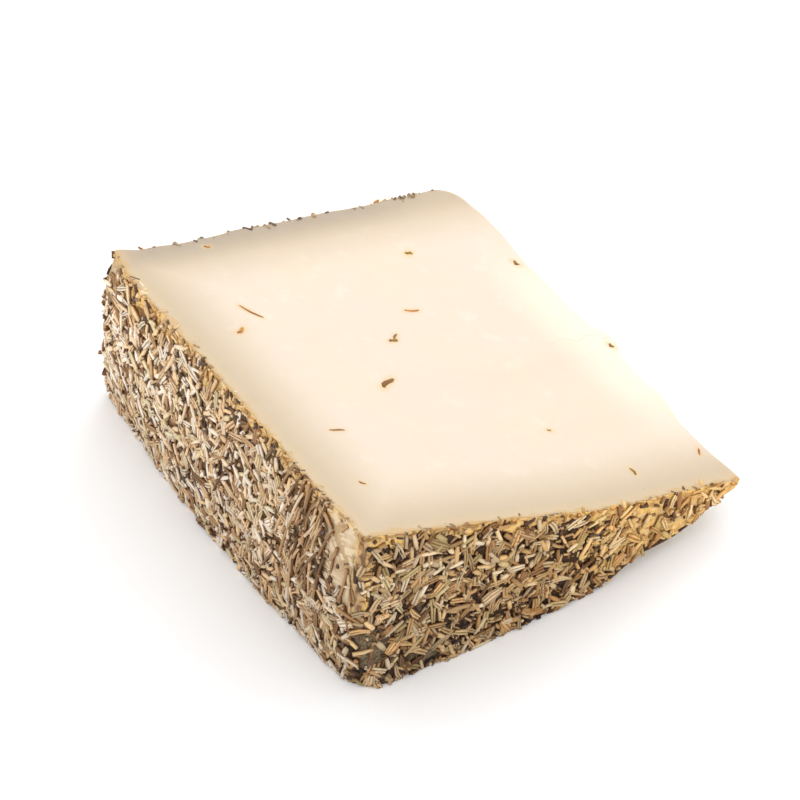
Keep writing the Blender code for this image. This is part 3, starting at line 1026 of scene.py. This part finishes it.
CAUGHT_STOPS = (
    (0.00, (0.42, 0.16, 0.055)), (0.35, (0.56, 0.31, 0.07)), (0.60, (0.36, 0.21, 0.030)),
    (0.80, (0.26, 0.165, 0.012)), (1.00, (0.36, 0.27, 0.060)),
)
FAR_RIM_STOPS = (
    (0.00, (0.10, 0.078, 0.058)), (0.45, (0.18, 0.140, 0.098)), (0.75, (0.26, 0.205, 0.135)),
    (1.00, (0.36, 0.27, 0.165)),
)
CHIP_STOPS = (
    (0.00, (0.085, 0.050, 0.035)), (0.14, (0.14, 0.080, 0.045)), (0.22, (0.50, 0.30, 0.12)),
    (0.60, (0.72, 0.49, 0.22)), (1.00, (0.84, 0.65, 0.37)),
)


def edge_room(face, s, t, v):
    """Leaves keep off the thin tip and off the lower edge where the tip curls up."""
    if face == "side":
        return (1 - 0.25 * smooth_step(0.965, 0.990, t)) * (0.45 + 0.55 * smooth_step(0.005, 0.035, t))
    tip = 1 - smooth_step(0.945, 0.975, s)
    if face == "back":
        return tip * (1 - 0.8 * smooth_step(0.93, 0.97, v)) * (0.70 + 0.30 * smooth_step(0.004, 0.036, s))
    curled = 1 - smooth_step(0.55, 0.70, s) * (1 - smooth_step(0.05, 0.16, v))
    return tip * curled * (0.45 + 0.55 * smooth_step(0.005, 0.040, s))


def stalk_share(face, s, t, v):
    """Stalks lie mostly beside the bare patch on the side."""
    if face != "side":
        return 0.0
    return (1 - smooth_step(0.21, 0.28, t)) * smooth_step(0.10, 0.13, t) * smooth_step(0.30, 0.45, v)


def bed_cover(face, s, t, v):
    kept = (1 - 0.94 * bare_share(face, s, t, v)) * (1 - 0.80 * dark_patch_share(face, s, t, v))
    kept *= 1 - 0.7 * fold_share(face, s, t, v)
    return kept * (1 - 0.84 * golden_share(face, s, t, v)) * edge_room(face, s, t, v)


def straw_cover(face, s, t, v):
    kept = (1 - 0.95 * bare_share(face, s, t, v)) * (1 - 0.66 * dark_patch_share(face, s, t, v))
    kept *= (1 - 0.65 * stalk_share(face, s, t, v)) * (1 - 0.50 * golden_share(face, s, t, v))
    kept *= 1 - 0.6 * fold_share(face, s, t, v)
    return kept * (1 - 0.82 * rim_gold(s, t, v)) * edge_room(face, s, t, v)


def chip_cover(face, s, t, v):
    """Chips of rind and pressed herb line the top of the side and of the front."""
    if face == "back":
        return 0.0
    top = smooth_step(0.92, 0.96, v) * (1 - smooth_step(0.95, 0.975, s))
    return top * (1 - 0.8 * bare_share(face, s, t, v))


def stalk_cover(face, s, t, v):
    return min(1.0, 0.05 + stalk_share(face, s, t, v))


def dark_cover(face, s, t, v):
    """Dark leaves everywhere, with more of them at the foot of the front corner."""
    corner = (1 - smooth_step(0.02, 0.20, s)) * (1 - smooth_step(0.3, 0.6, v)) if face == "front" else 0.0
    return min(1.0, 0.40 + 0.60 * corner) * bed_cover(face, s, t, v)


def rim_cover(point, share, reach):
    """Bits of herb and rind that the knife dragged a little way over the cut face."""
    to_side, to_front, to_back = rim_distances(point, share)
    patchy = max(0.0, 0.5 + 1.1 * noise.noise(point / 0.0030))
    near = 1 - smooth_step(0.0, reach, min(to_side, to_front))
    return min(1.0, patchy) * near * smooth_step(0.5, 3.0, to_back)


def far_rim_cover(point, share, reach):
    """Drab bits of the back's crust that stand along the far edge."""
    _, _, to_back = rim_distances(point, share)
    patchy = max(0.0, 0.45 + 1.6 * noise.noise(point / 0.0040))
    near = 1 - smooth_step(0.0, reach, to_back)
    return min(1.0, patchy) * near * (1 - smooth_step(0.88, 0.94, share[0]))


RIM_LINES = 150


def rim_ground(name, reach, cover_at=rim_cover):
    points, places, faces, _ = wedge_surface([("cut", RIM_LINES, RIM_LINES)])
    cover = [cover_at(point, share, reach) for point, share in zip(points, places)]
    kept = [face for face in faces if max(cover[k] for k in face) > 0]
    mesh = new_mesh(name, points, kept)
    float_attribute(mesh, "cover", cover)
    flip_if_inward(mesh)
    return mesh


# Section of a caught leaf: place across it, height over the cut face in metres, and a shade value, high on
# the pale margins, with painted shade in the middle and at the sunk edges.
CAUGHT_SECTION = (
    (-1.0, -0.0002, 0.4), (-0.8, 0.00007, 1.0), (0.0, 0.00002, 0.2),
    (0.8, 0.00007, 1.0), (1.0, -0.0002, 0.4),
)
CAUGHT_STATIONS = 5


def caught_leaf_points(entry):
    """One leaf half sunk in the cut face, as points, faces and values of pale margin and painted shade."""
    x1, y1, x2, y2, width, tint = entry
    start = Vector((x1, y1, 0.0)) / 1000
    stop = Vector((x2, y2, 0.0)) / 1000
    run = stop - start
    across = Vector((-run.y, run.x, 0.0)).normalized() * width / 2000
    points, faces, pale = [], [], []
    count = len(CAUGHT_SECTION)
    for k in range(CAUGHT_STATIONS):
        share = k / (CAUGHT_STATIONS - 1)
        scale = 0.45 + 0.55 * bow(share) ** 0.6
        middle = start + run * share + across * 0.5 * sin(share * 5 + tint * 9)
        for side, rise, light in CAUGHT_SECTION:
            flat = middle + across * side * scale
            top, _, _ = cut_height_over(flat.x, flat.y)
            points.append((flat.x, flat.y, top + rise))
            pale.append(light * (0.62 + 0.38 * sin(share * 4.5 + tint * 31)))
    for k in range(CAUGHT_STATIONS - 1):
        ring, following = k * count, (k + 1) * count
        for j in range(count):
            after = (j + 1) % count
            faces.append((ring + j, ring + after, following + after, following + j))
    last = (CAUGHT_STATIONS - 1) * count
    faces.append(tuple(range(count - 1, -1, -1)))
    faces.append(tuple(range(last, last + count)))
    return points, faces, pale, tint


# The add-on: dials, operators and the panel.


def colour_dial(name, description, default):
    return bpy.props.FloatVectorProperty(
        name=name, description=description, subtype="COLOR", default=default, min=0, max=1)


class CheeseDials(bpy.types.PropertyGroup):
    surface_lines: bpy.props.IntProperty(
        name="Surface Lines", description="Grid lines along each edge of the cheese's surface",
        default=150, min=40, max=220)
    paste_cool: colour_dial(
        "Paste, Cool", "Ivory of the paste's cooler clouds", (0.715, 0.600, 0.490))
    paste_warm: colour_dial(
        "Paste, Warm", "Ivory of the paste's warmer clouds", (0.735, 0.605, 0.475))
    curd: colour_dial(
        "Curd", "Small paler curds in the paste", (0.80, 0.72, 0.62))
    dry_paste: colour_dial(
        "Dry Paste", "Paste that has dried near the rind", (0.508, 0.396, 0.256))
    far_edge: colour_dial(
        "Far Edge", "Greyer paste along the back edge", (0.36, 0.295, 0.225))
    rind_band: colour_dial(
        "Rind Band", "Tan band just inside the crust", (0.62, 0.47, 0.28))
    rind_edge: colour_dial(
        "Rind Edge", "Yellow-brown line of the rind itself", (0.56, 0.37, 0.17))
    bare_rind: colour_dial(
        "Bare Rind", "Rind where the herbs have come off", (0.76, 0.600, 0.405))
    bare_shade: colour_dial(
        "Leaf Prints", "Marks that fallen leaves left on the bare rind", (0.50, 0.335, 0.175))
    golden_rind: colour_dial(
        "Golden Rind", "Yellow rind between the herbs near the tip", (0.95, 0.605, 0.200))
    golden_shade: colour_dial(
        "Golden Rind, Shade", "Darker parts of the yellow rind", (0.62, 0.345, 0.105))


class CrustDials(bpy.types.PropertyGroup):
    straw_density: bpy.props.FloatProperty(
        name="Straw Leaves", description="Pale leaves per square metre of crust",
        default=360000, min=0, max=600000)
    bed_density: bpy.props.FloatProperty(
        name="Bed Leaves", description="Dark leaves of the lower layer per square metre",
        default=240000, min=0, max=600000)
    crumb_density: bpy.props.FloatProperty(
        name="Crumbs", description="Leaf crumbs per square metre",
        default=420000, min=0, max=900000)
    chip_density: bpy.props.FloatProperty(
        name="Rind Chips", description="Chips per square metre of the cut face's edge",
        default=900000, min=0, max=2000000)
    clearance: bpy.props.FloatProperty(
        name="Clearance", description="Least distance between the middles of two pale leaves",
        default=0.00095, min=0.0002, max=0.004, unit="LENGTH")
    tilt: bpy.props.FloatProperty(
        name="Tilt", description="How far a leaf may tilt out of the crust",
        default=radians(9), min=0, max=radians(45), subtype="ANGLE")
    seed: bpy.props.IntProperty(
        name="Seed", description="Changes the places of all leaves", default=7, min=0, max=9999)


class StageDials(bpy.types.PropertyGroup):
    floor_size: bpy.props.FloatProperty(
        name="Floor Size", description="Width of the pale floor",
        default=6.0, min=0.5, max=20, unit="LENGTH")
    lens: bpy.props.FloatProperty(
        name="Lens", description="Focal length in millimetres", default=200.0, min=20, max=400)
    azimuth: bpy.props.FloatProperty(
        name="Azimuth", description="Camera's turn about the vertical",
        default=radians(-33.81), subtype="ANGLE")
    elevation: bpy.props.FloatProperty(
        name="Elevation", description="Camera's height angle", default=radians(41.85), subtype="ANGLE")
    distance: bpy.props.FloatProperty(
        name="Distance", description="From the camera to the middle of the picture",
        default=0.937213, min=0.2, max=5, unit="LENGTH")
    sky: bpy.props.FloatProperty(
        name="Sky", description="Strength of the even white light", default=1.26, min=0, max=5)
    key: bpy.props.FloatProperty(
        name="Key", description="Power of the main soft light in watts", default=0.35, min=0, max=200)


class OBJECT_OT_cheese_wedge(bpy.types.Operator):
    """Make the cheese itself, with its cut faces and the rind under the herbs"""
    bl_idname = "object.cheese_wedge"
    bl_label = "Cheese Wedge"

    def execute(self, context):
        dials = context.scene.cheese_dials
        piece = build_cheese(dials)
        steady = {
            "Subsurface Weight": 0.30,
            "Subsurface Radius": (1.0, 0.62, 0.34),
            "Subsurface Scale": 0.0035,
            "Specular IOR Level": 0.38,
        }
        material = finish_material(
            "ivory_paste_and_rind", lambda nodes: cheese_colour(nodes, dials),
            cheese_roughness, cheese_normal, steady)
        piece.data.materials.append(material)
        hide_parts("manchego_wedge")
        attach(piece, "root")
        return {"FINISHED"}


class OBJECT_OT_rosemary_bed(bpy.types.Operator):
    """Strew the dark lower layer of rosemary over the crusted walls"""
    bl_idname = "object.rosemary_bed"
    bl_label = "Rosemary Bed"

    def execute(self, context):
        dials = context.scene.crust_dials
        # The last colour is painted shade: it darkens the bed leaves on the front wall.
        finish = herb_material("dark_dry_rosemary", BED_STOPS, 0.40, 0.70, (0.44, 0.35, 0.33))
        settings = {
            "Number per Square Metre": dials.bed_density, "Clearance": 0.0009,
            "Deepest": -0.00030, "Highest": 0.00015, "Tilt": radians(5),
            "Shortest": 0.7, "Longest": 1.35,
            "Seed": dials.seed,
        }
        piece = strew("rosemary_bed", crust_ground("bed_ground", bed_cover), "bed", finish, settings)
        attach(piece, "root")
        return {"FINISHED"}


class OBJECT_OT_straw_rosemary(bpy.types.Operator):
    """Strew the pale, grooved rosemary leaves that lie on top"""
    bl_idname = "object.straw_rosemary"
    bl_label = "Pale Rosemary Leaves"

    def execute(self, context):
        dials = context.scene.crust_dials
        finish = herb_material("straw_rosemary", STRAW_STOPS, 0.24, 0.60)
        settings = {
            "Number per Square Metre": dials.straw_density, "Clearance": dials.clearance,
            "Deepest": 0.00005, "Highest": 0.00055, "Tilt": dials.tilt,
            "Shortest": 0.60, "Longest": 1.30,
            "Seed": dials.seed + 1,
        }
        ground = crust_ground("straw_ground", straw_cover)
        piece = strew("straw_rosemary", ground, "straw", finish, settings)
        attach(piece, "root")
        return {"FINISHED"}


class OBJECT_OT_dark_rosemary(bpy.types.Operator):
    """Strew the few dark leaves and the broad ones, striped by painted light on their ridges and painted
    shade in their hollows
    """
    bl_idname = "object.dark_rosemary"
    bl_label = "Dark and Broad Leaves"

    def execute(self, context):
        dials = context.scene.crust_dials
        dark = herb_material("damp_rosemary", DARK_STOPS, 0.55, 0.66)
        settings = {
            "Number per Square Metre": 60000.0, "Clearance": 0.0022,
            "Deepest": 0.0, "Highest": 0.00035, "Tilt": dials.tilt,
            "Shortest": 0.6, "Longest": 1.2,
            "Seed": dials.seed + 2,
        }
        piece = strew("damp_rosemary", crust_ground("dark_ground", dark_cover), "bed", dark, settings)
        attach(piece, "root")
        broad = herb_material("broad_rosemary", STRAW_STOPS, 0.36, 0.58)
        settings.update({
            "Number per Square Metre": 9000.0, "Clearance": 0.006,
            "Deepest": 0.0003, "Highest": 0.0006, "Seed": dials.seed + 3,
        })
        piece = strew("broad_rosemary", crust_ground("broad_ground", straw_cover), "flat", broad, settings)
        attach(piece, "root")
        return {"FINISHED"}


class OBJECT_OT_rosemary_stalks(bpy.types.Operator):
    """Lay the long stalks beside the bare patch"""
    bl_idname = "object.rosemary_stalks"
    bl_label = "Rosemary Stalks"

    def execute(self, context):
        dials = context.scene.crust_dials
        finish = herb_material("rosemary_stalk", STALK_STOPS, 0.5, 0.6)
        settings = {
            "Number per Square Metre": 170000.0, "Clearance": 0.0009,
            "Deepest": 0.0002, "Highest": 0.0006, "Tilt": radians(2),
            "Shortest": 0.5, "Longest": 1.1, "Middle Heading": radians(75), "Heading Spread": radians(15),
            "Seed": dials.seed + 4,
        }
        ground = crust_ground("stalk_ground", stalk_cover, ("side",))
        piece = strew("rosemary_stalks", ground, "stalk", finish, settings)
        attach(piece, "root")
        return {"FINISHED"}


class OBJECT_OT_rosemary_crumbs(bpy.types.Operator):
    """Strew leaf crumbs over the crust and a few over the edge of the cut face"""
    bl_idname = "object.rosemary_crumbs"
    bl_label = "Rosemary Crumbs"

    def execute(self, context):
        dials = context.scene.crust_dials
        finish = herb_material("rosemary_crumb", CRUMB_STOPS, 0.6, 0.7)
        settings = {
            "Number per Square Metre": dials.crumb_density, "Clearance": 0.0006,
            "Deepest": 0.00005, "Highest": 0.00060, "Tilt": radians(18),
            "Shortest": 0.6, "Longest": 1.3,
            "Seed": dials.seed + 5,
        }
        ground = crust_ground("crumb_ground", straw_cover)
        piece = strew("rosemary_crumbs", ground, "crumb", finish, settings)
        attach(piece, "root")
        settings.update({
            "Number per Square Metre": 160000.0, "Clearance": 0.0009,
            "Deepest": -0.00025, "Highest": -0.00005, "Tilt": radians(5), "Seed": dials.seed + 6,
        })
        piece = strew("rim_crumbs", rim_ground("rim_ground", 2.6), "crumb", finish, settings, flush=False)
        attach(piece, "root")
        return {"FINISHED"}


class OBJECT_OT_rind_chips(bpy.types.Operator):
    """Set chips of golden rind along the edge of the cut face, and drab bits along its far edge"""
    bl_idname = "object.rind_chips"
    bl_label = "Rind Chips"

    def execute(self, context):
        dials = context.scene.crust_dials
        finish = herb_material("golden_rind_chips", CHIP_STOPS, 0.5, 0.6)
        settings = {
            "Number per Square Metre": dials.chip_density, "Clearance": 0.0007,
            "Deepest": -0.00030, "Highest": -0.00010, "Tilt": radians(6),
            "Shortest": 0.6, "Longest": 1.1,
            "Seed": dials.seed + 8,
        }
        piece = strew("rind_chips", rim_ground("chip_ground", 0.9), "chip", finish, settings, flush=False)
        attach(piece, "root")
        settings.update({"Deepest": -0.0001, "Highest": 0.0004, "Seed": dials.seed + 9})
        piece = strew("wall_chips", crust_ground("wall_chip_ground", chip_cover), "chip", finish, settings)
        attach(piece, "root")
        drab = herb_material("drab_rind_chips", FAR_RIM_STOPS, 0.6, 0.7)
        settings.update({
            "Number per Square Metre": 5.0 * dials.chip_density, "Deepest": -0.00045, "Highest": 0.00006,
            "Seed": dials.seed + 10,
        })
        ground = rim_ground("far_rim_ground", 0.9, far_rim_cover)
        piece = strew("far_rim_chips", ground, "chip", drab, settings, flush=False)
        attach(piece, "root")
        return {"FINISHED"}


class OBJECT_OT_caught_rosemary(bpy.types.Operator):
    """Set the leaves that the knife bared into the cut face"""
    bl_idname = "object.caught_rosemary"
    bl_label = "Leaves in the Cut Face"

    def execute(self, context):
        points, faces, pale, tints = [], [], [], []
        for entry in CAUGHT_LEAVES:
            more, faced, light, tint = caught_leaf_points(entry)
            start = len(points)
            points += more
            faces += [tuple(start + k for k in face) for face in faced]
            pale += light
            tints += [tint] * len(more)
        mesh = new_mesh("caught_rosemary", points, faces)
        float_attribute(mesh, "pale", pale)
        float_attribute(mesh, "tint", tints)
        merge_doubles(mesh, 1e-7)
        mesh.shade_smooth()
        mesh.materials.append(herb_material("caught_rosemary", CAUGHT_STOPS, 0.45, 0.55))
        piece = new_piece("caught_rosemary", mesh)
        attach(piece, "root")
        return {"FINISHED"}


# The place that the camera looks at, in metres, and its shift to the right and up in the picture.
CAMERA_AIM = (0.0, -0.001223, 0.0138)
CAMERA_SHIFT = (-0.0042872, 0.0019228)
KEY_WIDTH = 0.30
KEY_PLACE = (0.26, 0.22, 0.30)
KEY_COLOUR = (1.0, 0.985, 0.96)
KEY_AIM = (0.0, 0.0, 0.015)
FLOOR_HEIGHT = -0.0001


def camera_axes(dials):
    turn, rise = dials.azimuth, dials.elevation
    right = Vector((cos(turn), sin(turn), 0.0))
    back = Vector((sin(turn) * cos(rise), -cos(turn) * cos(rise), sin(rise)))
    return right, back.cross(right), back


def floor_material():
    def colour(nodes):
        speck = nodes.noise(nodes.place(), 3.0, 2)
        return nodes.mix(speck.rise(0.3, 0.7), (0.93, 0.93, 0.935), (0.95, 0.95, 0.955))

    def roughness(nodes):
        return nodes.noise(nodes.place(), 12.0, 2).rise(0.3, 0.7, 0.45, 0.55)

    def normal(nodes):
        return nodes.bump(nodes.noise(nodes.place(), 60.0, 2), 0.02, 0.0005)

    return finish_material("pale_floor", colour, roughness, normal, {"Specular IOR Level": 0.2})


class SCENE_OT_cheese_stage(bpy.types.Operator):
    """Lay the white floor, set the soft lights and place the camera"""
    bl_idname = "scene.cheese_stage"
    bl_label = "Stage"

    def execute(self, context):
        dials = context.scene.cheese_stage_dials
        half = dials.floor_size / 2
        around = ((-half, -half), (half, -half), (half, half), (-half, half))
        corners = [(x, y, FLOOR_HEIGHT) for x, y in around]
        floor = new_piece("white_floor", new_mesh("white_floor", corners, [(0, 1, 2, 3)]))
        floor.data.materials.append(floor_material())

        world = bpy.data.worlds.new("even_white")
        world.use_nodes = True
        background = world.node_tree.nodes["Background"]
        background.inputs["Color"].default_value = (1.0, 1.0, 1.0, 1.0)
        background.inputs["Strength"].default_value = dials.sky
        context.scene.world = world

        self.lamp("key_right_back", dials.key, KEY_WIDTH, KEY_PLACE, KEY_COLOUR)

        right, up, back = camera_axes(dials)
        camera = bpy.data.objects.new("camera", bpy.data.cameras.new("camera"))
        camera.data.lens = dials.lens
        camera.data.sensor_width = 36.0
        camera.data.clip_start = 0.05
        camera.data.clip_end = 50.0
        aim = Vector(CAMERA_AIM) + right * CAMERA_SHIFT[0] + up * CAMERA_SHIFT[1]
        turned = Matrix((right, up, back)).transposed().to_4x4()
        camera.matrix_world = Matrix.Translation(aim + back * dials.distance) @ turned
        context.scene.collection.objects.link(camera)
        context.scene.camera = camera
        context.scene.view_settings.view_transform = "Standard"
        context.scene.view_settings.look = "None"
        context.scene.view_settings.exposure = 0.0
        return {"FINISHED"}

    def lamp(self, name, power, width, place, colour):
        data = bpy.data.lights.new(name, "AREA")
        data.shape = "DISK"
        data.size = width
        data.energy = power
        data.color = colour
        lamp = bpy.data.objects.new(name, data)
        lamp.location = place
        towards = Vector(KEY_AIM) - Vector(place)
        lamp.rotation_euler = towards.to_track_quat("-Z", "Y").to_euler()
        bpy.context.scene.collection.objects.link(lamp)


class VIEW3D_PT_cheese(bpy.types.Panel):
    bl_label = "Rosemary Cheese"
    bl_idname = "VIEW3D_PT_cheese"
    bl_space_type = "VIEW_3D"
    bl_region_type = "UI"
    bl_category = "Cheese"

    def draw(self, context):
        scene = context.scene
        for label, dials in (
            ("Cheese", scene.cheese_dials),
            ("Crust", scene.crust_dials),
            ("Stage", scene.cheese_stage_dials),
        ):
            box = self.layout.box()
            box.label(text=label)
            for name in dials.__annotations__:
                box.prop(dials, name)
        for operator in OPERATORS:
            self.layout.operator(operator.bl_idname)


OPERATORS = (
    SCENE_OT_cheese_stage,
    OBJECT_OT_cheese_wedge,
    OBJECT_OT_rosemary_bed,
    OBJECT_OT_straw_rosemary,
    OBJECT_OT_dark_rosemary,
    OBJECT_OT_rosemary_stalks,
    OBJECT_OT_rosemary_crumbs,
    OBJECT_OT_rind_chips,
    OBJECT_OT_caught_rosemary,
)
CLASSES = (CheeseDials, CrustDials, StageDials, *OPERATORS, VIEW3D_PT_cheese)


def register():
    for part in CLASSES:
        bpy.utils.register_class(part)
    bpy.types.Scene.cheese_dials = bpy.props.PointerProperty(type=CheeseDials)
    bpy.types.Scene.crust_dials = bpy.props.PointerProperty(type=CrustDials)
    bpy.types.Scene.cheese_stage_dials = bpy.props.PointerProperty(type=StageDials)


def unregister():
    del bpy.types.Scene.cheese_stage_dials
    del bpy.types.Scene.crust_dials
    del bpy.types.Scene.cheese_dials
    for part in reversed(CLASSES):
        bpy.utils.unregister_class(part)


def main():
    register()
    bpy.ops.scene.cheese_stage()
    bpy.ops.object.cheese_wedge()
    bpy.ops.object.rosemary_bed()
    bpy.ops.object.straw_rosemary()
    bpy.ops.object.dark_rosemary()
    bpy.ops.object.rosemary_stalks()
    bpy.ops.object.rosemary_crumbs()
    bpy.ops.object.rind_chips()
    bpy.ops.object.caught_rosemary()


if __name__ == "__main__":
    main()
